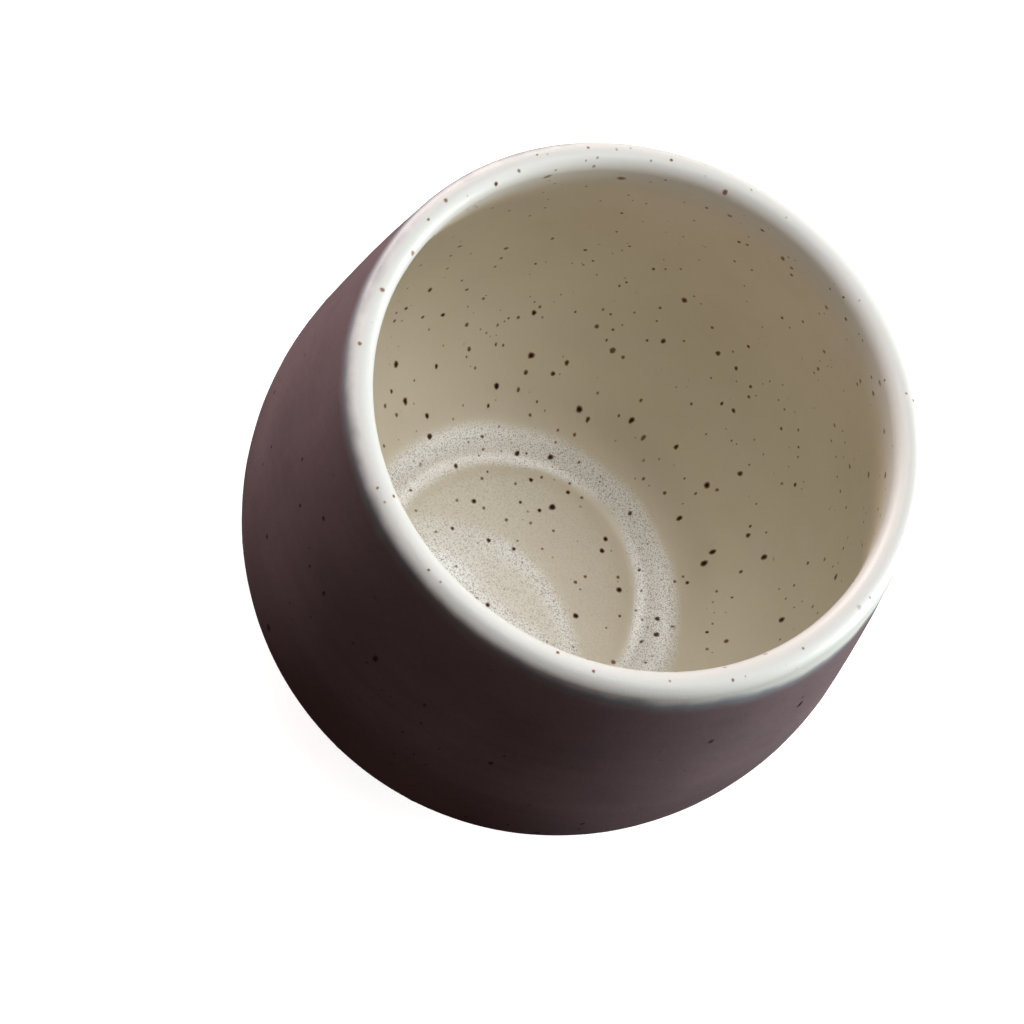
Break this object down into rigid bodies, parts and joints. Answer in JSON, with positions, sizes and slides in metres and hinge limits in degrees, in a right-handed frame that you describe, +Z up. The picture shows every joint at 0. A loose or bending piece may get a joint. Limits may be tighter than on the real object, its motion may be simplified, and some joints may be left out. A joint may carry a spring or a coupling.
{
  "type": "wine cup",
  "caption": "Handleless round-bellied stoneware wine cup with a rounded cream lip, speckled cream liner, satin mauve outside and a bare turned foot ring.",
  "frame": {"origin": "on the cup's axis, in the plane of the foot ring's flat land, which the cup stands on", "axes": "+Z up along the cup's axis of revolution; the picture's camera looks from -Y and above"},
  "size_m": [0.0928, 0.0928, 0.082],
  "materials": {
    "stoneware_clay": "bare fired buff stoneware with dark iron specks, matt",
    "cream_glaze": "satin cream glaze with near-black and soft brown iron specks and a fine sparkle",
    "mauve_glaze": "satin-matt mauve glaze with a blue-grey fringe under the lip and faint throwing lines"
  },
  "bodies": {
    "root": {"stoneware_body": "stoneware_clay", "liner_glaze": "cream_glaze", "outer_glaze": "mauve_glaze"}
  },
  "joints": []
}
